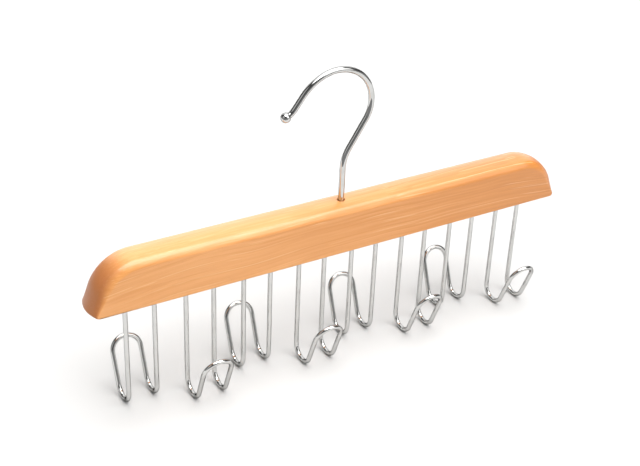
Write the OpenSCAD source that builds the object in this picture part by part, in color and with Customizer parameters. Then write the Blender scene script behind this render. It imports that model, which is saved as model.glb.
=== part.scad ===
// Tie hanger: a hardwood bar on a swivel hook, with eight bent wire tie hooks under it.
// X runs along the bar, Y across it, Z up. The hanger stands on its wire bends at z = 0.

/* [Bar] */
// Length over the two rounded noses
bar_length = 348; // [330:1:380]
// Thickness from front face to back face
bar_thickness = 23; // [20:0.5:28]
// Height at the middle of the crowned top
bar_height = 32.5; // [28:0.5:40]
// How far the crowned top falls towards each long face
crown_drop = 2; // [0:0.1:3]
// Radius that rolls the top into the long faces
shoulder_radius = 4; // [2:0.5:6]
// Lean of the end faces away from upright, in degrees
end_slant = 19.5; // [10:0.5:30]
// Radius between an end face and the top
end_radius = 28.5; // [15:0.5:29.5]
// Radius between an end face and the underside
toe_radius = 1.5; // [0.5:0.1:4]
// Bulge of the end faces, seen from above
nose_bulge = 2.7; // [0:0.1:4]
// Radius between an end face and a long face at the underside; it widens to the shoulder above
arris_radius = 1.2; // [0.5:0.1:3]
// Softening of the lower long edges
edge_break = 0.6; // [0.2:0.1:1.5]

/* [Tie hooks] */
// Distance from one tie hook to the next
hook_pitch = 40; // [36:0.5:42]
// Distance between the two legs of a tie hook, wire centre to wire centre
leg_spacing = 19; // [16:0.5:22]
// Diameter of the tie hook wire
tie_wire_d = 3; // [2.5:0.1:4]
// Clear height under the bar
bar_lift = 78.3; // [60:0.1:100]
// Centreline radius of the bend at the foot of a leg
trough_radius = 8.65; // [7:0.05:11]
// Outward lean of the upturned part, in degrees: a slope of 44 in 117
upturn_lean = 20.6097; // [10:0.0001:30]
// Straight length of the upturned part
upturn_length = 20; // [12:0.5:30]
// How deep the legs are pressed into the bar
leg_depth = 20; // [12:0.5:22]

/* [Swivel hook] */
// Diameter of the swivel hook wire
rod_wire_d = 3.8; // [3:0.1:4.5]
// Height at which the shank starts to bend, above the bar's underside
shank_height = 54.5; // [48:0.1:65]
// Sideways bend of the neck, in degrees: a slope of 336 in 527
neck_angle = 32.5204; // [20:0.0001:40]
// Centreline radius of the neck bend
neck_radius = 25; // [15:0.5:35]
// Straight length between neck and crown
neck_length = 20.5; // [10:0.5:30]
// Centreline radii of the crown, from the neck side to the tip side
crown_radii = [23.5, 26.5, 33.5]; // [15:0.5:40]
// Angles of the three crown bends, in degrees: a quarter turn, 4 in 3 and 336 in 527
crown_angles = [90, 53.1301, 32.5204]; // [20:0.0001:110]
// Straight length before the tip
tip_length = 9; // [2:0.5:15]
// Outward flare of the tip, in degrees: a slope of 3 in 4
tip_angle = 36.8699; // [10:0.0001:45]
// Centreline radius of the flare
tip_radius = 11.5; // [8:0.5:20]
// Diameter of the ball that closes the tip
ball_d = 6.4; // [5:0.1:8]

/* [Swivel seat] */
// Diameter of the pocket under the bar
pocket_d = 11; // [10:0.5:13]
// Depth of the pocket
pocket_depth = 6; // [5:0.5:8]
// Outer diameter of the washer in the pocket
washer_d = 9.5; // [8:0.1:9.8]
// Thickness of the washer
washer_t = 1; // [0.8:0.1:1.5]
// Diameter of the peened head under the washer
head_d = 6.4; // [5.6:0.1:7.6]
// Height of the peened head
head_t = 1.8; // [1.2:0.1:2.4]
// Up and down play of the shank
end_play = 0.3; // [0.2:0.05:0.6]
// Width of the countersink where the shank leaves the top
mouth_d = 5.6; // [4.6:0.1:7]

/* [Hidden] */

hook_count = 8;
round_fn = 32;
bend_fn = 64;
bore_fn = 64;
slice_t = 0.02;
pie_reach = 100;
pie_steps = 4;
toe_steps = 5;
end_steps = 16;
roll_pitch = 15;
leg_clearance = 0.05;
shank_clearance = 0.08;
mouth_depth = 0.9;
head_rim = 0.8;
overcut = 1;
half_t = (bar_thickness - slice_t) / 2;
shoulder_y = half_t - shoulder_radius;
leg_length = leg_depth + bar_lift - trough_radius - tie_wire_d / 2;
pocket_roof = bar_lift + pocket_depth;
head_z = pocket_roof - washer_t - end_play - head_t;
shank_bore_d = rod_wire_d + 2 * shank_clearance;

// Depths, front to back, at which the bar's outline is drawn
shoulder_stations = [for (a = [0:roll_pitch:90]) shoulder_y + shoulder_radius * sin(a)];
top_stations = [for (k = [-2:2]) k * shoulder_y / 3];
stations = concat(-shoulder_stations, top_stations, shoulder_stations);

// Points of an arc about c, at both ends and n - 1 places between
function arc(c, r, from, to, n) =
    [for (i = [0:n]) c + r * [cos(from + (to - from) * i / n), sin(from + (to - from) * i / n)]];

// How far an edge of radius r draws the surface in at depth y
function roll_in(y, r) =
    let (over = max(abs(y) - (half_t - r), 0))
    r - sqrt(max(r * r - over * over, 0));

// Half of the bar's outline at depth y, from the underside round the end to the top
function half_outline(y) =
    let (
        lift = max(abs(y) - (half_t - edge_break), 0),
        top = bar_height - crown_drop * pow(y / half_t, 2),
        toe_run = toe_radius * tan((90 + end_slant) / 2),
        end_run = end_radius * tan((90 - end_slant) / 2),
        toe = bar_length / 2 - toe_radius + toe_run - nose_bulge * pow(y / half_t, 2),
        shoulder = toe - top * tan(end_slant),
        toe_centre = [toe - toe_run - roll_in(y, arris_radius), lift + toe_radius],
        end_centre = [shoulder - end_run, top - end_radius]
    )
    concat(
        arc(toe_centre, toe_radius, -90, end_slant, toe_steps),
        arc(end_centre, end_radius - roll_in(y, shoulder_radius), end_slant, 90, end_steps)
    );

module outline_slice(y) {
    half = half_outline(y);
    other_half = [for (i = [len(half) - 1:-1:0]) [-half[i].x, half[i].y]];
    translate([0, y, 0])
        rotate([90, 0, 0])
            linear_extrude(height = slice_t, center = true)
                polygon(concat(half, other_half));
}

// The blank is convex, so one hull through its outlines rolls the top and noses it
module bar_blank() {
    translate([0, 0, bar_lift])
        hull()
            for (y = stations)
                outline_slice(y);
}

module leg_holes() {
    for (k = [1:hook_count], side = [-1, 1])
        translate([hook_x(k) + side * leg_spacing / 2, 0, bar_lift - overcut])
            cylinder(d = tie_wire_d + 2 * leg_clearance, h = leg_depth + overcut, $fn = bore_fn);
}

module swivel_seat() {
    translate([0, 0, bar_lift - overcut])
        cylinder(d = pocket_d, h = pocket_depth + overcut, $fn = bore_fn);
    translate([0, 0, bar_lift])
        cylinder(d = shank_bore_d, h = bar_height + overcut, $fn = bore_fn);
    translate([0, 0, bar_lift + bar_height - mouth_depth])
        cylinder(d1 = shank_bore_d, d2 = mouth_d, h = mouth_depth, $fn = bore_fn);
}

module bar() {
    color([0.95, 0.71, 0.49])
        difference() {
            bar_blank();
            leg_holes();
            swivel_seat();
        }
}

// A flat slice of pie from +X round to the given angle
module pie(angle, thickness) {
    linear_extrude(height = thickness, center = true)
        polygon(concat([[0, 0]], [for (i = [0:pie_steps]) pie_reach
            * [cos(angle * i / pie_steps), sin(angle * i / pie_steps)]]));
}

// One bend of a round wire: it starts at the origin going up and turns towards +X. It is a
// slice of a whole ring, so that its ends lie exactly on the planes of the next pieces.
module wire_bend(d, angle, radius) {
    translate([radius, 0, 0])
        rotate([90, 0, 180])
            intersection() {
                rotate_extrude($fn = bend_fn)
                    translate([radius, 0])
                        circle(d = d, $fn = round_fn);
                pie(angle, 2 * d);
            }
}

// A wire as a bender forms it. Each step is [feed, turn about the wire, bend angle, radius];
// the children are set at the end of the wire.
module bent_wire(d, steps, i = 0) {
    if (i < len(steps)) {
        feed = steps[i][0];
        turn = steps[i][1];
        angle = steps[i][2];
        radius = steps[i][3];
        if (feed > 0)
            cylinder(d = d, h = feed, $fn = round_fn);
        translate([0, 0, feed])
            rotate([0, 0, turn]) {
                if (angle > 0)
                    wire_bend(d, angle, radius);
                translate([radius * (1 - cos(angle)), 0, radius * sin(angle)])
                    rotate([0, angle, 0])
                        bent_wire(d, steps, i + 1)
                            children();
            }
    } else {
        children();
    }
}

function hook_x(k) = (k - (hook_count + 1) / 2) * hook_pitch;

// Odd hooks open to the back and even hooks to the front
function hook_side(k) = k % 2 == 1 ? 1 : -1;

// One wire: down a leg, up and out, over the arch, back down and up the other leg
module tie_hook(k) {
    trough_angle = 180 - upturn_lean;
    side = hook_side(k);
    color([0.80, 0.81, 0.83])
        translate([hook_x(k) - side * leg_spacing / 2, 0, bar_lift + leg_depth])
            rotate([180, 0, side * 90])
                bent_wire(tie_wire_d, [
                    [leg_length, 0, trough_angle, trough_radius],
                    [upturn_length, 90, 180, leg_spacing / 2],
                    [upturn_length, -90, trough_angle, trough_radius],
                    [leg_length, 0, 0, 0]
                ]);
}

// Peened end that keeps the shank in the bar
module peened_head() {
    cylinder(d1 = rod_wire_d, d2 = head_d, h = head_t - head_rim, $fn = bore_fn);
    translate([0, 0, head_t - head_rim])
        cylinder(d = head_d, h = head_rim, $fn = bore_fn);
}

module swivel_hook() {
    color([0.80, 0.81, 0.83])
        translate([0, 0, head_z]) {
            peened_head();
            translate([0, 0, head_t])
                bent_wire(rod_wire_d, [
                    [bar_lift + shank_height - head_z - head_t, 0, neck_angle, neck_radius],
                    [neck_length, 180, crown_angles[0], crown_radii[0]],
                    [0, 0, crown_angles[1], crown_radii[1]],
                    [0, 0, crown_angles[2], crown_radii[2]],
                    [tip_length, 180, tip_angle, tip_radius]
                ])
                    sphere(d = ball_d, $fn = bore_fn);
        }
}

module swivel_washer() {
    color([0.70, 0.71, 0.72])
        translate([0, 0, pocket_roof - washer_t])
            difference() {
                cylinder(d = washer_d, h = washer_t, $fn = bore_fn);
                translate([0, 0, -overcut])
                    cylinder(d = shank_bore_d, h = washer_t + 2 * overcut, $fn = bore_fn);
            }
}

bar();
swivel_hook();
swivel_washer();
tie_hook(1);  // tie_hook_1
tie_hook(2);  // tie_hook_2
tie_hook(3);  // tie_hook_3
tie_hook(4);  // tie_hook_4
tie_hook(5);  // tie_hook_5
tie_hook(6);  // tie_hook_6
tie_hook(7);  // tie_hook_7
tie_hook(8);  // tie_hook_8
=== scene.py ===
"""Tie hanger: a lacquered wooden bar, a swivel hook and eight chromed tie hooks under the bar.

Sizes are in metres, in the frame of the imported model: X runs along the bar, Y towards the back
and Z up. The hanger stands on the foot bends of its wires, at z = 0. Angles are in degrees.
"""

import logging
import math
from dataclasses import dataclass, field
from enum import Enum

import bmesh
import bpy
from mathutils import Matrix, Vector


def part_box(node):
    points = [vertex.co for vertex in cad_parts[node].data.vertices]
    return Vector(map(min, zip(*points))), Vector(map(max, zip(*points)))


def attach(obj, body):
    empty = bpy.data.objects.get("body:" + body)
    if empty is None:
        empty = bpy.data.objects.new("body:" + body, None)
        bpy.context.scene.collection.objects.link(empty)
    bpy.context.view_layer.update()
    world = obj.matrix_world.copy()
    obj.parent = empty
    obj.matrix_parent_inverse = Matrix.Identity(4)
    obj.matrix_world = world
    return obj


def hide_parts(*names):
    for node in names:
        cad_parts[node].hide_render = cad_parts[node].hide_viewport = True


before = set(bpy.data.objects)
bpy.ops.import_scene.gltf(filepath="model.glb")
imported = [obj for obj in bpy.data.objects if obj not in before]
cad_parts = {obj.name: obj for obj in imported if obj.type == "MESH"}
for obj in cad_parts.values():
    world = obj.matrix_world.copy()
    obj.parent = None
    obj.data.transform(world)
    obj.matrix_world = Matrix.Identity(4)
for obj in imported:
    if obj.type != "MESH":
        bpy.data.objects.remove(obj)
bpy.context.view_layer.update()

Colour = tuple[float, float, float, float]
Triple = tuple[float, float, float]
Pair = tuple[float, float]
Sockets = dict[str, bpy.types.NodeSocket]

MM = 0.001
HANGER_BODY = "hanger"
HOOK_BODY = "hook"
WHITE: Colour = (1.0, 1.0, 1.0, 1.0)
HALF_TURN = 180.0
QUARTER_TURN = 90.0
NOISE_MIDDLE = 0.5
# A ring of wire thinner than this, in metres, is a single point.
POINT_GIRTH = 1e-7
# Decimals kept of an outline's place, in metres.
PLACE_DIGITS = 7
# The Mix node's sockets by number: it has a set for each kind of value.
MIX_FACTOR = 0
MIX_NUMBERS = (2, 3)
MIX_COLOURS = (6, 7)
MIXED_NUMBER = 0
MIXED_COLOUR = 2
log = logging.getLogger("tie_hanger")


class Facing(Enum):
    """The side of the bar that a tie hook opens to."""

    BACK = 1
    FRONT = -1


class Slot(Enum):
    """The finishes that the record names."""

    WOOD = "wood"
    CHROME = "chrome"
    STEEL = "steel"


@dataclass(frozen=True)
class Noise:
    """Noise that is stretched along the axes.

    stretch counts the features per millimetre along each axis, detail the octaves, and roughness
    says how strong the finer octaves are.
    """

    stretch: Triple
    detail: float = 2.0
    roughness: float = 0.5


class NodeBoard:
    """Adds and wires shader nodes in one node tree."""

    def __init__(self, tree: bpy.types.NodeTree) -> None:
        """Takes the node tree of a material, a world or a group."""
        self.tree = tree

    def add(self, kind: str, inputs: dict | None = None, **settings: object) -> bpy.types.Node:
        """Adds a node.

        Args:
            kind: the node's type without the words ShaderNode.
            inputs: a value or an output socket for each named or numbered input.
            settings: properties of the node itself.

        Returns:
            The new node.
        """
        node = self.tree.nodes.new("ShaderNode" + kind)
        for name, value in settings.items():
            setattr(node, name, value)
        for key, value in (inputs or {}).items():
            self.feed(node.inputs[key], value)
        return node

    def feed(self, socket: bpy.types.NodeSocket, value: object) -> None:
        """Links an output to a socket, or sets the socket's own value.

        Args:
            socket: the input socket.
            value: an output socket, a number or a tuple.
        """
        if isinstance(value, bpy.types.NodeSocket):
            self.tree.links.new(value, socket)
        else:
            socket.default_value = value

    def math(self, operation: str, *values: object) -> bpy.types.NodeSocket:
        """Adds a Math node with its inputs in order and gives its result's socket."""
        return self.add("Math", dict(enumerate(values)), operation=operation).outputs[0]

    def product(self, first: object, second: object) -> bpy.types.NodeSocket:
        """Multiplies two values and gives the product's socket."""
        return self.math("MULTIPLY", first, second)

    def total(self, first: object, *others: object) -> bpy.types.NodeSocket:
        """Adds up values.

        Args:
            first: a number or socket.
            others: the values that are added to it.

        Returns:
            The sum's socket.
        """
        for value in others:
            first = self.math("ADD", first, value)
        return first

    def vector(self, operation: str, *values: object) -> bpy.types.Node:
        """Adds a Vector Math node with its inputs in order and gives the node."""
        return self.add("VectorMath", dict(enumerate(values)), operation=operation)

    def scaled(self, place: object, factor: object) -> bpy.types.NodeSocket:
        """Scales a vector.

        Args:
            place: the vector's socket.
            factor: a number or socket.

        Returns:
            The scaled vector's socket.
        """
        node = self.vector("SCALE", place)
        self.feed(node.inputs["Scale"], factor)
        return node.outputs[0]

    def ramp(self, value: object, low: float, high: float, to_low: float = 0.0,
             to_high: float = 1.0) -> bpy.types.NodeSocket:
        """Maps a value smoothly from one range to another and clamps it.

        Args:
            value: the input.
            low: input at the start of the rise.
            high: input at its end.
            to_low: output at the start.
            to_high: output at the end.

        Returns:
            The result's socket.
        """
        inputs = {"Value": value, "From Min": low, "From Max": high,
                  "To Min": to_low, "To Max": to_high}
        return self.add("MapRange", inputs, interpolation_type="SMOOTHSTEP").outputs["Result"]

    def blend(self, factor: object, first: object, second: object) -> bpy.types.NodeSocket:
        """Mixes so much of a second colour into the first and gives the mix's socket."""
        inputs = {MIX_FACTOR: factor, **dict(zip(MIX_COLOURS, (first, second)))}
        return self.add("Mix", inputs, data_type="RGBA").outputs[MIXED_COLOUR]

    def noise(self, place: object, look: Noise) -> bpy.types.NodeSocket:
        """Adds noise.

        Args:
            place: the coordinates in millimetres.
            look: the noise's stretch, detail and roughness.

        Returns:
            The noise value's socket, about 0 to 1 round NOISE_MIDDLE.
        """
        stretched = self.vector("MULTIPLY", place, look.stretch).outputs[0]
        inputs = {"Vector": stretched, "Scale": 1.0, "Detail": look.detail,
                  "Roughness": look.roughness}
        return self.add("TexNoise", inputs).outputs["Fac"]

    def emboss(self, shader: bpy.types.Node, height: object, strength: float,
               depth: float) -> None:
        """Gives a Principled shader a relief from a height socket, its depth in metres."""
        bump = self.add("Bump", {"Height": height, "Strength": strength, "Distance": depth})
        self.feed(shader.inputs["Normal"], bump.outputs[0])


def new_group(name: str, inputs: tuple[str, ...], outputs: tuple[str, ...]
              ) -> tuple[bpy.types.NodeTree, NodeBoard, Sockets, Sockets]:
    """Makes an empty shader node group whose sockets all carry numbers.

    Args:
        name: the group's name.
        inputs: the name of each input, whose value every material sets.
        outputs: the name of each output.

    Returns:
        The group, a board on it, its input sockets by name and its output sockets by name.
    """
    tree = bpy.data.node_groups.new(name, "ShaderNodeTree")
    for side, labels in (("INPUT", inputs), ("OUTPUT", outputs)):
        for label in labels:
            tree.interface.new_socket(label, in_out=side, socket_type="NodeSocketFloat")
    entry = tree.nodes.new("NodeGroupInput")
    leave = tree.nodes.new("NodeGroupOutput")
    return (tree, NodeBoard(tree), {s.name: s for s in entry.outputs},
            {s.name: s for s in leave.inputs})


@dataclass(frozen=True)
class LengthwiseGrain:
    """The grain of straight wood along X, which the wooden finishes share as a node group.

    Lengths are in millimetres. heart is the middle of the tree as seen from the bar, arch the
    rise of the fibres over the square of the way along the bar, and a reach how far a noise
    moves the fibres. A band holds the two values between which a feature comes in. Painted
    shade, standing in for light that falls off along the bar, darkens the wood towards +X between
    two places along X.
    """

    heart: Triple = (0.0, 62.0, 12.0)
    arch: float = 0.00022
    wander: Noise = Noise((0.006, 0.03, 0.03))
    wander_reach: float = 9.0
    sway: Noise = Noise((0.011, 0.015, 0.02), 1.0)
    sway_reach: float = 12.0
    years: Noise = Noise((0.002, 0.11, 0.11), 1.0)
    year_spread: float = 2.4
    ragged: Noise = Noise((0.02, 0.5, 0.5))
    ragged_share: float = 0.35
    late_rise: Pair = (0.35, 0.93)
    late_end: Pair = (1.0, 0.95)
    season: Noise = Noise((0.004, 0.16, 0.16), 1.0)
    season_band: Pair = (0.35, 0.65)
    season_least: float = 0.25
    streaks: Noise = Noise((0.014, 0.6, 0.6), 3.0, 0.6)
    streak_band: Pair = (0.34, 0.66)
    streak_swing: Pair = (-0.5, 0.5)
    fibres: Noise = Noise((0.05, 3.2, 3.2), 2.0, 0.7)
    fibre_depth: float = 0.30
    cloud: Noise = Noise((0.012, 0.05, 0.05))
    cloud_depth: float = 0.5
    rays: Noise = Noise((0.005, 1.3, 1.3), 1.0)
    ray_band: Pair = (0.62, 0.73)
    ray_depth: float = -0.35
    base_tone: float = 0.30
    # Painted shade: where along X the bar darkens towards its right end, and how deep it gets.
    shade_span: Pair = (-100.0, 180.0)
    deepest_shade: float = 0.92
    pores: Noise = Noise((0.45, 6.5, 6.5), 1.0)
    pore_band: Pair = (0.70, 0.80)
    threads: Noise = Noise((0.005, 0.95, 0.95), 1.0)
    thread_band: Pair = (0.63, 0.74)
    # The facing along X at which the darker end colour comes in: real end grain, and painted shade
    # on the ends and round the rolled corners.
    end_and_shade_band: Pair = (0.12, 0.76)
    late_relief: float = 0.6
    relief: float = 0.5

    def along_fibres(self, board: NodeBoard, spot: bpy.types.NodeSocket
                     ) -> tuple[bpy.types.NodeSocket, bpy.types.NodeSocket]:
        """Bends the coordinates so that they follow the fibres.

        Args:
            board: the group's board.
            spot: the place on the bar.

        Returns:
            The place among the fibres and the distance from the tree's heart.
        """
        parts = board.add("SeparateXYZ", {0: spot}).outputs
        along = parts["X"]
        arched = board.product(board.product(along, along), self.arch)
        wandered = board.product(board.noise(spot, self.wander), self.wander_reach)
        swayed = board.product(board.noise(spot, self.sway), self.sway_reach)
        across = board.total(parts["Y"], wandered)
        upward = board.total(parts["Z"], arched, swayed)
        fibre = board.add("CombineXYZ", {"X": along, "Y": across, "Z": upward}).outputs[0]
        level = board.add("CombineXYZ", {"X": 0.0, "Y": across, "Z": upward}).outputs[0]
        return fibre, board.vector("DISTANCE", level, self.heart).outputs["Value"]

    def late_wood(self, board: NodeBoard, fibre: bpy.types.NodeSocket,
                  reach: bpy.types.NodeSocket, pitch: bpy.types.NodeSocket
                  ) -> bpy.types.NodeSocket:
        """Draws the darker late wood of the growth rings.

        Args:
            board: the group's board.
            fibre: the place among the fibres.
            reach: the distance from the tree's heart.
            pitch: the width of a ring.

        Returns:
            Its strength's socket, 0 to 1.
        """
        years = board.product(board.noise(fibre, self.years), self.year_spread)
        ragged = board.product(board.noise(fibre, self.ragged), self.ragged_share)
        turns = board.total(board.math("DIVIDE", reach, pitch), years, ragged)
        ring = board.math("FRACT", turns)
        late = board.product(board.ramp(ring, *self.late_rise), board.ramp(ring, *self.late_end))
        season = board.noise(fibre, self.season)
        return board.product(late, board.ramp(season, *self.season_band, self.season_least, 1.0))

    def group(self) -> bpy.types.NodeTree:
        """Builds the node group.

        Returns:
            A group with six outputs: the tone, the painted shade along the bar, the pores, the pale
                fibres, the end grain with painted shade, and the height.
        """
        tree, board, entry, leave = new_group(
            "LengthwiseGrain",
            ("Ring Pitch", "Ring Depth", "Streak Depth"),
            ("Tone", "Painted Shade", "Pores", "Pale Fibre", "End Grain And Shade", "Height"),
        )
        coordinates = board.add("TexCoord")
        spot = board.scaled(coordinates.outputs["Object"], 1.0 / MM)
        fibre, reach = self.along_fibres(board, spot)
        late_wood = self.late_wood(board, fibre, reach, entry["Ring Pitch"])
        fibres = board.noise(fibre, self.fibres)

        streaks = board.ramp(board.noise(fibre, self.streaks), *self.streak_band,
                             *self.streak_swing)
        cloud = board.math("SUBTRACT", board.noise(spot, self.cloud), NOISE_MIDDLE)
        tone = board.total(
            board.product(late_wood, entry["Ring Depth"]),
            board.product(streaks, entry["Streak Depth"]),
            board.product(board.math("SUBTRACT", fibres, NOISE_MIDDLE), self.fibre_depth),
            board.product(cloud, self.cloud_depth),
            board.ramp(board.noise(fibre, self.rays), *self.ray_band, 0.0, self.ray_depth),
            self.base_tone,
        )
        board.feed(leave["Tone"], tone)
        along = board.add("SeparateXYZ", {0: spot}).outputs["X"]
        # Painted shade, darker towards +X, standing in for light that falls off along the bar.
        board.feed(leave["Painted Shade"], board.ramp(along, *self.shade_span, 0.0, self.deepest_shade))
        board.feed(leave["Pores"], board.ramp(board.noise(fibre, self.pores), *self.pore_band))
        threads = board.noise(fibre, self.threads)
        board.feed(leave["Pale Fibre"], board.ramp(threads, *self.thread_band))
        # Darker where the surface faces along X: real end grain, and painted shade on the ends and
        # round the rolled corners.
        direction = board.add("SeparateXYZ", {0: coordinates.outputs["Normal"]})
        facing = board.math("ABSOLUTE", direction.outputs["X"])
        board.feed(leave["End Grain And Shade"], board.ramp(facing, *self.end_and_shade_band))
        raised = board.total(fibres, board.product(late_wood, self.late_relief))
        board.feed(leave["Height"], board.product(raised, self.relief))
        return tree


@dataclass(frozen=True)
class DrawnWireMarks:
    """What drawing and handling leave on plated wire: lengthwise lines, haze and dust.

    line_step is how fast the lines change along the wire, per millimetre.
    """

    lines: Noise = Noise((0.5, 0.5, 0.06), 3.0, 0.65)
    line_step: float = 0.25
    haze: Noise = Noise((1.0, 1.0, 1.0), 3.0, 0.6)
    haze_band: Pair = (0.42, 0.72)
    dust: Noise = Noise((1.9, 1.9, 1.9), 1.0)
    dust_band: Pair = (0.74, 0.80)

    def group(self) -> bpy.types.NodeTree:
        """Builds the node group.

        Returns:
            A group with the outputs Haze, Specks and Height.
        """
        tree, board, entry, leave = new_group(
            "DrawnWireMarks",
            ("Line Count", "Haze Size"),
            ("Haze", "Specks", "Height"),
        )
        coordinates = board.add("TexCoord")
        skin = board.add("SeparateXYZ", {0: coordinates.outputs["UV"]}).outputs
        turn = board.product(skin["X"], 2.0 * math.pi)
        sideways = board.product(board.math("COSINE", turn), entry["Line Count"])
        forwards = board.product(board.math("SINE", turn), entry["Line Count"])
        along = board.product(skin["Y"], self.line_step / MM)
        drawn = board.add("CombineXYZ", {"X": sideways, "Y": forwards, "Z": along}).outputs[0]
        board.feed(leave["Height"], board.noise(drawn, self.lines))

        spot = board.scaled(coordinates.outputs["Object"], 1.0 / MM)
        patches = board.noise(board.scaled(spot, entry["Haze Size"]), self.haze)
        board.feed(leave["Haze"], board.ramp(patches, *self.haze_band))
        board.feed(leave["Specks"], board.ramp(board.noise(spot, self.dust), *self.dust_band))
        return tree


def blank_material(name: str) -> tuple[bpy.types.Material, NodeBoard, bpy.types.Node]:
    """Makes a material that holds only its output and a Principled shader.

    Args:
        name: the material's name.

    Returns:
        The material, a board on its nodes and the shader.
    """
    made = bpy.data.materials.new(name)
    made.use_nodes = True
    made.node_tree.nodes.clear()
    board = NodeBoard(made.node_tree)
    shader = board.add("BsdfPrincipled")
    board.add("OutputMaterial", {"Surface": shader.outputs[0]})
    return made, board, shader


@dataclass(frozen=True)
class Figure:
    """How strongly the grain shows in one finish, with the ring pitch in millimetres."""

    ring_pitch: float
    ring_depth: float
    streak_depth: float

    def place(self, board: NodeBoard, grain: bpy.types.NodeTree) -> Sockets:
        """Places the grain group in a material.

        Args:
            board: the board on the material's nodes.
            grain: the lengthwise grain group.

        Returns:
            The group's outputs by name.
        """
        inputs = {"Ring Pitch": self.ring_pitch, "Ring Depth": self.ring_depth,
                  "Streak Depth": self.streak_depth}
        node = board.add("Group", inputs, node_tree=grain)
        return {s.name: s for s in node.outputs}


@dataclass(frozen=True)
class LacqueredWood:
    """Straight-grained pale hardwood under a clear satin lacquer."""

    name: str = "lacquered_hardwood"
    figure: Figure = Figure(2.7, 0.22, 0.30)
    pale: Colour = (0.860, 0.400, 0.138, 1.0)
    deep: Colour = (0.690, 0.265, 0.055, 1.0)
    # The darkest colour, reached where the grain's tone and the painted shade along the bar add up.
    dark_tone_and_shade: Colour = (0.560, 0.190, 0.034, 1.0)
    dark_tone_and_shade_band: Pair = (0.85, 1.85)
    pale_fibre: Colour = (0.920, 0.530, 0.240, 1.0)
    fibre_share: float = 0.6
    pore: Colour = (0.420, 0.150, 0.045, 1.0)
    pore_share: float = 0.45
    # The darker end colour: real end grain, and painted shade on the ends and the rolled corners.
    end_grain_and_shade: Colour = (0.420, 0.138, 0.052, 1.0)
    end_and_shade_share: float = 0.85
    roughness: Pair = (0.31, 0.44)
    coat_weight: float = 1.0
    coat_soaked: float = -0.9
    coat_roughness: float = 0.26
    gloss_level: float = 0.25
    relief_strength: float = 0.10
    relief_depth: float = 0.15 * MM

    def material(self, grain: bpy.types.NodeTree) -> bpy.types.Material:
        """Builds the material.

        Args:
            grain: the lengthwise grain group.

        Returns:
            The finished material.
        """
        made, board, shader = blank_material(self.name)
        wood = self.figure.place(board, grain)
        # The grain's tone plus the painted shade along the bar.
        tone_and_shade = board.total(wood["Tone"], wood["Painted Shade"])
        graded_tone_and_shade = board.blend(tone_and_shade, self.pale, self.deep)
        side = board.blend(board.ramp(tone_and_shade, *self.dark_tone_and_shade_band), graded_tone_and_shade, self.dark_tone_and_shade)
        fibred = board.product(wood["Pale Fibre"], self.fibre_share)
        threaded = board.blend(fibred, side, self.pale_fibre)
        opened = board.product(wood["Pores"], self.pore_share)
        pored = board.blend(opened, threaded, self.pore)
        # How much of the darker end colour shows: real end grain plus painted shade on the ends.
        end_and_shade_cover = board.product(wood["End Grain And Shade"], self.end_and_shade_share)
        shaded = board.blend(wood["Tone"], self.end_grain_and_shade, self.pore)
        board.feed(shader.inputs["Base Color"], board.blend(end_and_shade_cover, pored, shaded))

        rough = board.ramp(wood["Tone"], 0.0, 1.0, *self.roughness)
        board.feed(shader.inputs["Roughness"], rough)
        soaked = board.product(wood["End Grain And Shade"], self.coat_soaked)
        board.feed(shader.inputs["Coat Weight"], board.total(soaked, self.coat_weight))
        shader.inputs["Coat Roughness"].default_value = self.coat_roughness
        shader.inputs["Specular IOR Level"].default_value = self.gloss_level
        board.emboss(shader, wood["Height"], self.relief_strength, self.relief_depth)
        return made


@dataclass(frozen=True)
class BoredWood:
    """The raw wood inside the drilled holes, without lacquer; its darker colour is painted shade in
    the holes.
    """

    name: str = "bored_hardwood_painted_shade"
    figure: Figure = Figure(2.7, 0.7, 0.9)
    # Much darker than the lacquered wood: painted shade inside the holes.
    pale: Colour = (0.480, 0.250, 0.110, 1.0)
    deep: Colour = (0.300, 0.130, 0.050, 1.0)
    roughness: float = 0.8
    relief_strength: float = 0.5
    relief_depth: float = 0.2 * MM

    def material(self, grain: bpy.types.NodeTree) -> bpy.types.Material:
        """Builds the material.

        Args:
            grain: the lengthwise grain group.

        Returns:
            The finished material.
        """
        made, board, shader = blank_material(self.name)
        wood = self.figure.place(board, grain)
        board.feed(shader.inputs["Base Color"], board.blend(wood["Tone"], self.pale, self.deep))
        shader.inputs["Roughness"].default_value = self.roughness
        board.emboss(shader, wood["Height"], self.relief_strength, self.relief_depth)
        return made


@dataclass(frozen=True)
class PlatedWire:
    """A plated metal finish with drawing lines, haze and dust.

    bright is the clean metal, hazed the metal under haze or dust, and edge the tint of what it
    mirrors at a glancing angle; a dark edge darkens the rims of the wire as painted shade.
    roughness runs from the clean metal to the hazed one.
    """

    name: str
    bright: Colour
    hazed: Colour
    edge: Colour
    roughness: Pair
    relief_strength: float
    line_count: float = 14.0
    haze_size: float = 0.12
    haze_share: float = 0.6
    dust_share: float = 0.4
    dust_roughness: float = 0.12
    relief_depth: float = 0.02 * MM

    def material(self, marks: bpy.types.NodeTree) -> bpy.types.Material:
        """Builds the material.

        Args:
            marks: the drawn wire marks group.

        Returns:
            The finished material.
        """
        made, board, shader = blank_material(self.name)
        inputs = {"Line Count": self.line_count, "Haze Size": self.haze_size}
        wear = board.add("Group", inputs, node_tree=marks).outputs
        cover = board.product(wear["Haze"], self.haze_share)
        tinted = board.blend(cover, self.bright, self.hazed)
        dusted = board.blend(board.product(wear["Specks"], self.dust_share), tinted, self.hazed)
        board.feed(shader.inputs["Base Color"], dusted)
        rough = board.ramp(wear["Haze"], 0.0, 1.0, *self.roughness)
        gritty = board.product(wear["Specks"], self.dust_roughness)
        board.feed(shader.inputs["Roughness"], board.total(rough, gritty))
        shader.inputs["Metallic"].default_value = 1.0
        shader.inputs["Specular Tint"].default_value = self.edge
        board.emboss(shader, wear["Height"], self.relief_strength, self.relief_depth)
        return made


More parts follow.
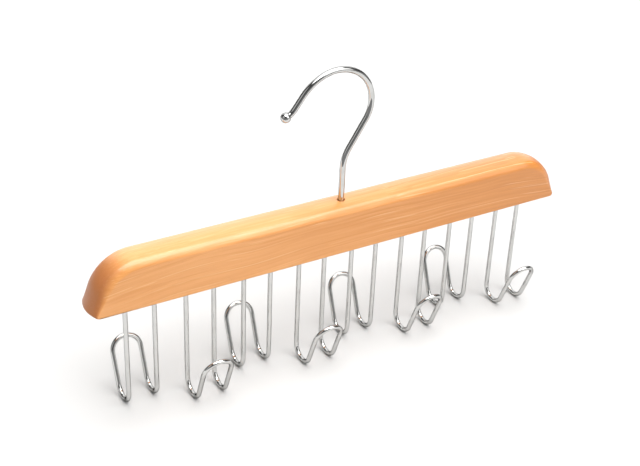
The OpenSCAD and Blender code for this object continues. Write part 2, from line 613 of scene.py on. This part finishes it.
BRIGHT_CHROME = PlatedWire(
    name="bright_chrome",
    bright=(0.65, 0.65, 0.64, 1.0),
    hazed=(0.55, 0.55, 0.535, 1.0),
    # Painted shade: this dark glancing tint darkens the rims of the chrome wires.
    edge=(0.08, 0.08, 0.08, 1.0),
    roughness=(0.04, 0.10),
    relief_strength=0.10,
)
ZINC_PLATE = PlatedWire(
    name="zinc_plate",
    bright=(0.55, 0.56, 0.57, 1.0),
    hazed=(0.38, 0.38, 0.37, 1.0),
    edge=(0.60, 0.60, 0.60, 1.0),
    roughness=(0.30, 0.48),
    relief_strength=0.5,
)


@dataclass
class Finishes:
    """Every material of the hanger, built once."""

    wood: bpy.types.Material = field(init=False)
    bored: bpy.types.Material = field(init=False)
    chrome: bpy.types.Material = field(init=False)
    steel: bpy.types.Material = field(init=False)

    def __post_init__(self) -> None:
        """Builds the shared groups and the materials on them."""
        grain = LengthwiseGrain().group()
        marks = DrawnWireMarks().group()
        self.wood = LacqueredWood().material(grain)
        self.bored = BoredWood().material(grain)
        self.chrome = BRIGHT_CHROME.material(marks)
        self.steel = ZINC_PLATE.material(marks)


def link_mesh(name: str, mesh: bpy.types.Mesh) -> bpy.types.Object:
    """Puts a mesh into the scene.

    Args:
        name: the object's name.
        mesh: its mesh.

    Returns:
        The new object.
    """
    made = bpy.data.objects.new(name, mesh)
    bpy.context.scene.collection.objects.link(made)
    return made


def settle(shell: bmesh.types.BMesh, name: str) -> bpy.types.Mesh:
    """Writes a finished shell to a mesh and frees it.

    Args:
        shell: the shell.
        name: the mesh's name.

    Returns:
        The mesh.
    """
    made = bpy.data.meshes.new(name)
    shell.to_mesh(made)
    shell.free()
    return made


def smooth(mesh: bpy.types.Mesh, crease: float) -> None:
    """Shades a mesh smooth, with its sharper edges kept.

    Args:
        mesh: the mesh.
        crease: the angle in degrees above which an edge stays sharp.
    """
    for face in mesh.polygons:
        face.use_smooth = True
    mesh.set_sharp_from_angle(angle=math.radians(crease))


def turned(angle: float, axis: str) -> Matrix:
    """Gives a rotation by an angle in degrees about an axis."""
    return Matrix.Rotation(math.radians(angle), 4, axis)


def circle(radius: float, sides: int, height: float = 0.0) -> list[Vector]:
    """Gives the corners of a level ring round the Z axis, counterclockwise from X."""
    angles = [2.0 * math.pi * k / sides for k in range(sides)]
    return [Vector((radius * math.cos(a), radius * math.sin(a), height)) for a in angles]


def revolve(points: list[Pair], sides: int, place: Vector) -> bmesh.types.BMesh:
    """Turns a profile round the Z axis into a closed solid.

    Args:
        points: radius and height from the bottom to the top; both ends lie on the axis.
        sides: facets round the axis.
        place: where the axis starts.

    Returns:
        The solid.
    """
    made = bmesh.new()
    rings = []
    for radius, height in points:
        corners = circle(radius, sides if radius > 0.0 else 1, height)
        rings.append([made.verts.new(place + corner) for corner in corners])
    for lower, upper in zip(rings, rings[1:]):
        for k in range(sides):
            corners = [lower[k % len(lower)], lower[(k + 1) % len(lower)],
                       upper[(k + 1) % len(upper)], upper[k % len(upper)]]
            made.faces.new(list(dict.fromkeys(corners)))
    bmesh.ops.recalc_face_normals(made, faces=made.faces[:])
    return made


@dataclass(frozen=True)
class WireStep:
    """One step of a wire bender: feed the wire, turn it about itself, then bend it."""

    feed: float
    turn: float = 0.0
    angle: float = 0.0
    radius: float = 0.0


@dataclass
class WireForm:
    """A round wire that follows a bender's steps.

    bend_pitch is the angle of a bend between two rings, and crease the angle above which an edge
    of the skin stays sharp.
    """

    radius: float
    start: Matrix
    sides: int = 28
    bend_pitch: float = 4.0
    fewest_rings: int = 2
    ball_rings: int = 14
    crease: float = 50.0
    frames: list[Matrix] = field(default_factory=list)
    girths: list[float] = field(default_factory=list)

    def mark(self, place: Matrix, girth: float | None = None) -> None:
        """Adds a ring across the frame's Z, of the wire's own radius or of another girth."""
        self.frames.append(place.copy())
        self.girths.append(self.radius if girth is None else girth)

    def follow(self, steps: list[WireStep]) -> Matrix:
        """Runs through the steps and marks a ring wherever one is needed.

        Args:
            steps: the bender's steps in order.

        Returns:
            The frame at the wire's end.
        """
        place = self.start.copy()
        self.mark(place)
        for step in steps:
            if step.feed > 0.0:
                place = place @ Matrix.Translation((0.0, 0.0, step.feed))
                self.mark(place)
            place = place @ turned(step.turn, "Z")
            if step.angle <= 0.0:
                continue
            count = max(self.fewest_rings, math.ceil(step.angle / self.bend_pitch))
            centre = place @ Matrix.Translation((step.radius, 0.0, 0.0))
            for k in range(1, count + 1):
                swing = turned(step.angle * k / count, "Y")
                self.mark(centre @ swing @ Matrix.Translation((-step.radius, 0.0, 0.0)))
            place = self.frames[-1]
        return place

    def close_with_ball(self, place: Matrix, ball: float) -> None:
        """Ends the wire in a headed ball with a small neck.

        Args:
            place: the frame at the ball's centre.
            ball: the ball's radius.
        """
        self.frames.pop()
        self.girths.pop()
        neck = math.asin(self.radius / ball)
        for k in range(self.ball_rings + 1):
            swing = neck + (math.pi - neck) * k / self.ball_rings
            shift = Matrix.Translation((0.0, 0.0, -ball * math.cos(swing)))
            girth = ball * math.sin(swing) if k < self.ball_rings else 0.0
            self.mark(place @ shift, girth)

    def mesh(self, name: str) -> bpy.types.Mesh:
        """Sweeps the rings into a closed skin, with U round the wire and V along it.

        Args:
            name: the mesh's name.

        Returns:
            The finished mesh.
        """
        shell = bmesh.new()
        uv = shell.loops.layers.uv.new("wire")
        rings, lengths, run = [], [], 0.0
        for index, (place, girth) in enumerate(zip(self.frames, self.girths)):
            if index:
                run += (place.translation - self.frames[index - 1].translation).length
            lengths.append(run)
            if girth < POINT_GIRTH:
                rings.append([shell.verts.new(place.translation)] * self.sides)
            else:
                corners = circle(girth, self.sides)
                rings.append([shell.verts.new(place @ corner) for corner in corners])
        self.twist_free(rings)
        for row, (lower, upper) in enumerate(zip(rings, rings[1:])):
            for k in range(self.sides):
                m = (k + 1) % self.sides
                corners = list(dict.fromkeys([lower[k], lower[m], upper[m], upper[k]]))
                spots = {lower[k]: (k, lengths[row]), lower[m]: (k + 1, lengths[row]),
                         upper[m]: (k + 1, lengths[row + 1]), upper[k]: (k, lengths[row + 1])}
                face = shell.faces.new(corners)
                for loop in face.loops:
                    column, reach = spots[loop.vert]
                    loop[uv].uv = (column / self.sides, reach)
        for ring in (rings[0], rings[-1]):
            if len(set(ring)) > 2:
                shell.faces.new(ring)
        bmesh.ops.recalc_face_normals(shell, faces=shell.faces[:])
        made = settle(shell, name)
        smooth(made, self.crease)
        return made

    def twist_free(self, rings: list[list[bmesh.types.BMVert]]) -> None:
        """Turns each ring so that its first point follows the ring before it.

        Args:
            rings: the rings' vertices, changed in place.
        """
        for index in range(1, len(rings)):
            before, ring = rings[index - 1], rings[index]
            if len(set(ring)) == 1 or len(set(before)) == 1:
                continue
            drift = self.frames[index].translation - self.frames[index - 1].translation
            reach = [(v.co - before[0].co - drift).length for v in ring]
            shift = reach.index(min(reach))
            rings[index] = ring[shift:] + ring[:shift]


@dataclass
class Bar:
    """The wooden bar: crowned top, rolled shoulders, slanted ends and bored holes.

    The arris is the bar's lower edge, a pitch the angle between two outlines on a rounded edge,
    and the mouth the small countersink at the top of the bore. No outline is nearer to the one
    before it than closest_outlines, or to the bar's face than closest_face.
    """

    leg_places: list[float]
    low: Vector = field(default_factory=lambda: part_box("bar")[0])
    high: Vector = field(default_factory=lambda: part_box("bar")[1])
    crown_drop: float = 2.0 * MM
    shoulder_radius: float = 4.0 * MM
    end_slant: float = 19.5
    end_radius: float = 28.5 * MM
    toe_radius: float = 1.5 * MM
    nose_bulge: float = 2.7 * MM
    arris_radius: float = 1.2 * MM
    arris: float = 0.5 * MM
    arris_segments: int = 3
    arris_fullness: float = 0.5
    sharp_angle: float = 35.0
    crease: float = 24.0
    shoulder_pitch: int = 6
    arris_pitch: int = 15
    crown_outlines: int = 6
    closest_outlines: float = 0.02 * MM
    closest_face: float = 0.002 * MM
    toe_chords: int = 6
    slope_chords: int = 5
    end_chords: int = 32
    leg_radius: float = 1.55 * MM
    leg_flare: float = 0.3 * MM
    leg_depth: float = 20.0 * MM
    pocket_radius: float = 5.5 * MM
    pocket_depth: float = 6.0 * MM
    bore_radius: float = 1.98 * MM
    mouth_radius: float = 2.8 * MM
    mouth_depth: float = 0.9 * MM
    overcut: float = 1.0 * MM
    hole_sides: int = 40
    wall_margin: float = 0.02 * MM

    @property
    def height(self) -> float:
        """Height at the middle of the crown."""
        return self.high.z - self.low.z

    @property
    def half_depth(self) -> float:
        """Half of the bar's thickness."""
        return (self.high.y - self.low.y) / 2.0

    def roll_in(self, y: float, radius: float) -> float:
        """Gives how far a rounded edge draws the surface in at y from the middle plane."""
        over = min(max(abs(y) - (self.half_depth - radius), 0.0), radius)
        return radius - math.sqrt(radius**2 - over**2)

    def half_outline(self, y: float) -> list[Pair]:
        """Draws the right half of the outline at one depth.

        Args:
            y: distance from the middle plane.

        Returns:
            X and height of its points, from the underside round the end to the top.
        """
        slant = math.radians(self.end_slant)
        part = (y / self.half_depth) ** 2
        top = self.height - self.crown_drop * part
        toe_run = self.toe_radius * math.tan((math.pi / 2 + slant) / 2)
        end_run = self.end_radius * math.tan((math.pi / 2 - slant) / 2)
        toe = self.high.x - self.toe_radius + toe_run - self.nose_bulge * part
        foot_x = toe - toe_run - self.roll_in(y, self.arris_radius)
        foot_centre = Vector((foot_x, self.toe_radius))
        end_centre = Vector((toe - top * math.tan(slant) - end_run, top - self.end_radius))
        end_radius = self.end_radius - self.roll_in(y, self.shoulder_radius)
        across = end_centre - foot_centre
        turn = math.acos((self.toe_radius - end_radius) / across.length)
        lean = math.atan2(across.y, across.x) - turn
        foot = self.arc(foot_centre, self.toe_radius, -math.pi / 2, lean, self.toe_chords)
        end = self.arc(end_centre, end_radius, lean, math.pi / 2, self.end_chords)
        (x0, z0), (x1, z1) = foot[-1], end[0]
        count = self.slope_chords
        slope = [(x0 + (x1 - x0) * k / count, z0 + (z1 - z0) * k / count)
                 for k in range(1, count)]
        return foot + slope + end

    @staticmethod
    def arc(centre: Vector, radius: float, first: float, last: float, count: int) -> list[Pair]:
        """Gives the points of an arc.

        Args:
            centre: the arc's centre.
            radius: its radius.
            first: the angle at its start, in radians.
            last: the angle at its end, in radians.
            count: the number of chords.

        Returns:
            count + 1 points.
        """
        angles = [first + (last - first) * k / count for k in range(count + 1)]
        return [(centre.x + radius * math.cos(a), centre.y + radius * math.sin(a))
                for a in angles]

    def stations(self) -> list[float]:
        """Gives the depths at which the outline is drawn.

        Returns:
            Distances from the middle plane, front to back.
        """
        roll = set()
        for radius, pitch in ((self.shoulder_radius, self.shoulder_pitch),
                              (self.arris_radius, self.arris_pitch)):
            start = self.half_depth - radius
            swings = [math.radians(angle) for angle in range(0, int(QUARTER_TURN), pitch)]
            roll |= {round(start + radius * math.sin(swing), PLACE_DIGITS) for swing in swings}
        kept = []
        for y in sorted(roll):
            if not kept or y - kept[-1] > self.closest_outlines:
                kept.append(y)
        kept = [y for y in kept if y < self.half_depth - self.closest_face] + [self.half_depth]
        count = self.crown_outlines
        crown = [kept[0] * k / count for k in range(1 - count, count)]
        return [-y for y in reversed(kept)] + crown + kept

    def blank(self) -> bmesh.types.BMesh:
        """Lofts the undrilled bar through its outlines.

        Returns:
            The closed solid with softened arrises.
        """
        shell = bmesh.new()
        rings = []
        for y in self.stations():
            half = self.half_outline(y)
            points = half + [(-x, z) for x, z in reversed(half)]
            rings.append([shell.verts.new((x, y, self.low.z + z)) for x, z in points])
        size = len(rings[0])
        for front, back in zip(rings, rings[1:]):
            for k in range(size):
                m = (k + 1) % size
                shell.faces.new((front[k], front[m], back[m], back[k]))
        shell.faces.new(rings[0])
        shell.faces.new(rings[-1])
        bmesh.ops.recalc_face_normals(shell, faces=shell.faces[:])
        limit = math.radians(self.sharp_angle)
        sharp = [edge for edge in shell.edges if edge.calc_face_angle(0.0) > limit]
        bmesh.ops.bevel(shell, geom=sharp, offset=self.arris, segments=self.arris_segments,
                        profile=self.arris_fullness, affect="EDGES")
        return shell

    def drills(self) -> bpy.types.Object:
        """Makes the cutter for all holes.

        Returns:
            An object that isn't part of the scene's look and is deleted after use.
        """
        cutter = bmesh.new()
        wide = self.leg_radius + self.leg_flare
        leg = [(0.0, -self.overcut), (wide, -self.overcut), (wide, 0.0),
               (self.leg_radius, self.leg_flare), (self.leg_radius, self.leg_depth),
               (0.0, self.leg_depth)]
        top = self.height
        swivel = [(0.0, -self.overcut), (self.pocket_radius, -self.overcut),
                  (self.pocket_radius, self.pocket_depth), (self.bore_radius, self.pocket_depth),
                  (self.bore_radius, top - self.mouth_depth), (self.mouth_radius, top),
                  (self.mouth_radius + self.overcut, top + self.overcut), (0.0, top + self.overcut)]
        cuts = [(leg, x) for x in self.leg_places] + [(swivel, 0.0)]
        scratch = bpy.data.meshes.new("drill")
        for profile, x in cuts:
            solid = revolve(profile, self.hole_sides, Vector((x, 0.0, self.low.z)))
            solid.to_mesh(scratch)
            cutter.from_mesh(scratch)
            solid.free()
        cutter.to_mesh(scratch)
        cutter.free()
        return link_mesh("drill", scratch)

    def build(self, finishes: Finishes) -> bpy.types.Object:
        """Builds the drilled and finished bar in place of its node.

        Args:
            finishes: the hanger's materials.

        Returns:
            The bar.
        """
        blank = link_mesh("bar_blank", settle(self.blank(), "bar_blank"))
        drills = self.drills()
        cut = blank.modifiers.new("holes", "BOOLEAN")
        cut.operation = "DIFFERENCE"
        cut.object = drills
        cut.solver = "EXACT"
        bpy.context.view_layer.update()
        graph = bpy.context.evaluated_depsgraph_get()
        drilled = bpy.data.meshes.new_from_object(blank.evaluated_get(graph))
        for scrap in (blank, drills):
            bpy.data.objects.remove(scrap)
        smooth(drilled, self.crease)
        drilled.materials.clear()
        drilled.materials.append(finishes.wood)
        drilled.materials.append(finishes.bored)
        # Hole walls take the darker bored wood, which is painted shade inside the holes.
        for face in drilled.polygons:
            face.material_index = 1 if self.in_hole(face.center) else 0
        bar = link_mesh("hardwood_bar", drilled)
        flow = bar.modifiers.new("even_normals", "WEIGHTED_NORMAL")
        flow.keep_sharp = True
        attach(bar, HANGER_BODY)
        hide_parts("bar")
        log.info("bar: %d faces", len(drilled.polygons))
        return bar

    def in_hole(self, spot: Vector) -> bool:
        """Tells a hole's wall from the bar's outside.

        Args:
            spot: a face's centre.

        Returns:
            True inside a hole.
        """
        depth = spot.z - self.low.z
        reach = self.leg_radius + self.wall_margin
        near_leg = any(abs(spot.x - x) < reach for x in self.leg_places) and abs(spot.y) < reach
        in_leg = near_leg and depth < self.leg_depth + self.wall_margin
        near_swivel = math.hypot(spot.x, spot.y) < self.pocket_radius + self.wall_margin
        in_bore = near_swivel and depth < self.height - self.mouth_depth
        return depth > self.leg_flare and (in_leg or in_bore)


@dataclass
class TieHookRow:
    """The eight bent wire tie hooks under the bar.

    lean is the angle by which a hook's upturned stretches lean away from its legs.
    """

    count: int = 8
    pitch: float = 40.0 * MM
    leg_spacing: float = 19.0 * MM
    wire_radius: float = 1.5 * MM
    trough_radius: float = 8.65 * MM
    lean: float = 20.6097
    upturn: float = 20.0 * MM
    leg_top: float = field(default_factory=lambda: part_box("tie_hook_1")[1].z)

    def places(self) -> list[float]:
        """Gives the middle of each tie hook along the bar."""
        return [(k - (self.count - 1) / 2.0) * self.pitch for k in range(self.count)]

    def leg_places(self) -> list[float]:
        """Gives the X of every leg."""
        half = self.leg_spacing / 2.0
        return [x + side for x in self.places() for side in (-half, half)]

    def steps(self) -> list[WireStep]:
        """Gives the bender's steps for one tie hook.

        Returns:
            Down a leg, out and up, over the arch, back down and up the other leg.
        """
        leg = self.leg_top - self.trough_radius - self.wire_radius
        trough = HALF_TURN - self.lean
        return [
            WireStep(leg, 0.0, trough, self.trough_radius),
            WireStep(self.upturn, QUARTER_TURN, HALF_TURN, self.leg_spacing / 2.0),
            WireStep(self.upturn, -QUARTER_TURN, trough, self.trough_radius),
            WireStep(leg),
        ]

    def build(self, finishes: Finishes) -> list[bpy.types.Object]:
        """Builds every tie hook in place of its node.

        Args:
            finishes: the hanger's materials.

        Returns:
            The tie hooks from left to right.
        """
        made = []
        for index, x in enumerate(self.places()):
            facing = Facing.BACK if index % 2 == 0 else Facing.FRONT
            side = facing.value
            start = (Matrix.Translation((x - side * self.leg_spacing / 2.0, 0.0, self.leg_top))
                     @ turned(QUARTER_TURN * side, "Z") @ turned(HALF_TURN, "X"))
            form = WireForm(self.wire_radius, start)
            form.follow(self.steps())
            node = f"tie_hook_{index + 1}"
            hook = link_mesh(f"{node}_wire", form.mesh(node))
            hook.data.materials.append(finishes.chrome)
            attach(hook, HANGER_BODY)
            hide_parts(node)
            log.info("%s opens to the %s", node, facing.name.lower())
            made.append(hook)
        return made


@dataclass
class SwivelHook:
    """The chromed hook that turns in the bar, with its ball tip and peened head.

    head holds the height and the radius of each ring of the peened head. crown holds the angle
    and the radius of each bend over the top.
    """

    low: Vector = field(default_factory=lambda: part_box("swivel_hook")[0])
    bar_low: float = field(default_factory=lambda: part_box("bar")[0].z)
    wire_radius: float = 1.9 * MM
    head: tuple[Pair, ...] = (
        (0.0, 0.0), (0.0, 2.3 * MM), (0.45 * MM, 2.95 * MM), (0.8 * MM, 3.2 * MM),
        (1.8 * MM, 3.2 * MM),
    )
    bend_pitch: float = 2.5
    shank_height: float = 54.5 * MM
    neck_angle: float = 32.5204
    neck_radius: float = 25.0 * MM
    neck_length: float = 20.5 * MM
    crown: tuple[Pair, ...] = (
        (90.0, 23.5 * MM), (53.1301, 26.5 * MM), (32.5204, 33.5 * MM),
    )
    tip_length: float = 9.0 * MM
    tip_angle: float = 36.8699
    tip_radius: float = 11.5 * MM
    ball_radius: float = 3.2 * MM

    @property
    def head_top(self) -> float:
        """Height at which the shank leaves the peened head."""
        return self.low.z + self.head[-1][0]

    def steps(self) -> list[WireStep]:
        """Gives the bender's steps from the head to the tip.

        Returns:
            The shank, the neck, the three crown bends and the flare.
        """
        shank = self.bar_low + self.shank_height - self.head_top
        first, *rest = self.crown
        return [
            WireStep(shank, 0.0, self.neck_angle, self.neck_radius),
            WireStep(self.neck_length, HALF_TURN, *first),
            *[WireStep(0.0, 0.0, *bend) for bend in rest],
            WireStep(self.tip_length, HALF_TURN, self.tip_angle, self.tip_radius),
        ]

    def build(self, finishes: Finishes) -> bpy.types.Object:
        """Builds the hook in place of its node.

        Args:
            finishes: the hanger's materials.

        Returns:
            The hook.
        """
        base = Matrix.Translation((0.0, 0.0, self.head_top))
        form = WireForm(self.wire_radius, base, bend_pitch=self.bend_pitch)
        for height, girth in self.head:
            form.mark(Matrix.Translation((0.0, 0.0, self.low.z + height)), girth)
        end = form.follow(self.steps())
        form.close_with_ball(end, self.ball_radius)
        hook = link_mesh("swivel_hook_wire", form.mesh("swivel_hook"))
        hook.data.materials.append(finishes.chrome)
        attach(hook, HOOK_BODY)
        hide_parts("swivel_hook")
        log.info("swivel hook: %d rings", len(form.frames))
        return hook


@dataclass
class SwivelWasher:
    """The washer in the pocket under the bar, kept as its node with a better finish."""

    node: str = "swivel_washer"
    edge: float = 0.12 * MM
    edge_segments: int = 2

    def build(self, finishes: Finishes) -> bpy.types.Object:
        """Dresses the washer's node.

        Args:
            finishes: the hanger's materials.

        Returns:
            The washer.
        """
        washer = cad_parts[self.node]
        washer.data.materials.clear()
        washer.data.materials.append(finishes.steel)
        round_over = washer.modifiers.new("stamped_edge", "BEVEL")
        round_over.width = self.edge
        round_over.segments = self.edge_segments
        log.info("washer dressed")
        return washer


@dataclass(frozen=True)
class Softbox:
    """A soft lamp at a great distance, as a round bright patch of the world.

    half_angle runs from the lamp's middle to the middle of its feathered rim.
    """

    towards: Triple
    half_angle: float
    feather: float
    strength: float


@dataclass
class Studio:
    """The floor, the soft light and the camera.

    The floor is squared to the camera and ends in front of it, so that the wires mirror the dim
    room there. The light fades from horizon_level below horizon_foot to dim_level above
    horizon_top, both heights on the world's unit sphere. The eye is measured from the middle of
    the bar's underside, and the lens and its sensor are in millimetres.
    """

    floor_half_width: float = 1.2
    floor_front: float = 0.34
    floor_back: float = 1.4
    floor_cells: int = 8
    floor_colour: Colour = (0.62, 0.62, 0.615, 1.0)
    floor_roughness: float = 0.9
    floor_gloss: float = 0.1
    dim_level: float = 0.08
    horizon_level: float = 0.28
    horizon_foot: float = 0.112
    horizon_top: float = 0.28
    backdrop_level: float = 1.0
    lamps: tuple[Softbox, ...] = (
        Softbox((0.10, -0.23, 1.0), 30.0, 12.0, 5.5),
        Softbox((0.62, -1.0, 0.62), 20.0, 8.0, 2.0),
        Softbox((0.42, 0.80, 0.55), 37.0, 14.0, 1.1),
        Softbox((-1.0, -0.10, 0.62), 22.0, 8.0, 0.50),
    )
    eye: Triple = (-370.84 * MM, -566.25 * MM, 391.66 * MM)
    azimuth: float = -32.175
    elevation: float = 29.599
    roll: float = 2.522
    lens: float = 67.61
    sensor_width: float = 36.0
    nearest: float = 0.01

    def build_floor(self) -> bpy.types.Object:
        """Makes the plain pale floor.

        Returns:
            The floor.
        """
        shell = bmesh.new()
        squared = turned(self.azimuth, "Z")
        middle = Matrix.Translation((0.0, (self.floor_back - self.floor_front) / 2.0, 0.0))
        half_length = (self.floor_back + self.floor_front) / 2.0
        spread = Matrix.Diagonal((self.floor_half_width, half_length, 1.0, 1.0))
        bmesh.ops.create_grid(shell, x_segments=self.floor_cells, y_segments=self.floor_cells,
                              size=1.0, matrix=squared @ middle @ spread)
        floor = link_mesh("studio_floor", settle(shell, "studio_floor"))
        matt, _, shader = blank_material("matt_white_floor")
        shader.inputs["Base Color"].default_value = self.floor_colour
        shader.inputs["Roughness"].default_value = self.floor_roughness
        shader.inputs["Specular IOR Level"].default_value = self.floor_gloss
        floor.data.materials.append(matt)
        return floor

    def build_world(self) -> bpy.types.World:
        """Makes the soft light: a dim room, a pale horizon and the softboxes.

        Returns:
            The world.
        """
        world = bpy.data.worlds.new("soft_studio")
        world.use_nodes = True
        world.node_tree.nodes.clear()
        board = NodeBoard(world.node_tree)
        generated = board.add("TexCoord").outputs["Generated"]
        towards = board.vector("NORMALIZE", generated).outputs[0]
        height = board.add("SeparateXYZ", {0: towards}).outputs["Z"]
        level = board.ramp(height, self.horizon_foot, self.horizon_top, self.horizon_level,
                           self.dim_level)
        for lamp in self.lamps:
            centre = tuple(Vector(lamp.towards).normalized())
            nearness = board.vector("DOT_PRODUCT", towards, centre).outputs["Value"]
            inner = math.cos(math.radians(lamp.half_angle - lamp.feather / 2))
            outer = math.cos(math.radians(lamp.half_angle + lamp.feather / 2))
            shone = board.ramp(nearness, outer, inner, 0.0, lamp.strength)
            level = board.total(level, shone)
        seen = board.add("LightPath").outputs["Is Camera Ray"]
        inputs = {MIX_FACTOR: seen, **dict(zip(MIX_NUMBERS, (level, self.backdrop_level)))}
        strength = board.add("Mix", inputs).outputs[MIXED_NUMBER]
        light = board.add("Background", {"Color": WHITE, "Strength": strength})
        board.add("OutputWorld", {"Surface": light.outputs[0]})
        bpy.context.scene.world = world
        return world

    def build_camera(self) -> bpy.types.Object:
        """Places the camera at the photograph's angle.

        Returns:
            The scene's camera.
        """
        turn, rise, tilt = (math.radians(a) for a in (self.azimuth, self.elevation, self.roll))
        level_back = Vector((math.sin(turn), -math.cos(turn), 0.0))
        back = math.cos(rise) * level_back + Vector((0.0, 0.0, math.sin(rise)))
        level_right = (-back).cross(Vector((0.0, 0.0, 1.0))).normalized()
        level_up = level_right.cross(-back)
        right = math.cos(tilt) * level_right + math.sin(tilt) * level_up
        up = math.cos(tilt) * level_up - math.sin(tilt) * level_right
        lens = bpy.data.cameras.new("studio_camera")
        lens.lens = self.lens
        lens.sensor_width = self.sensor_width
        lens.clip_start = self.nearest
        camera = bpy.data.objects.new("studio_camera", lens)
        bpy.context.scene.collection.objects.link(camera)
        place = Matrix((right, up, back)).transposed().to_4x4()
        underside = Vector((0.0, 0.0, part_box("bar")[0].z))
        place.translation = Vector(self.eye) + underside
        camera.matrix_world = place
        bpy.context.scene.camera = camera
        return camera

    def build(self) -> None:
        """Builds the floor, the light and the camera."""
        bpy.context.scene.view_settings.view_transform = "Standard"
        self.build_camera()
        self.build_floor()
        self.build_world()
        log.info("studio ready")


def main() -> None:
    """Builds the hanger and its studio in order."""
    logging.basicConfig(level=logging.INFO, format="%(name)s: %(message)s")
    Studio().build()
    finishes = Finishes()
    hooks = TieHookRow()
    Bar(hooks.leg_places()).build(finishes)
    hooks.build(finishes)
    SwivelHook().build(finishes)
    SwivelWasher().build(finishes)


if __name__ == "__main__":
    main()
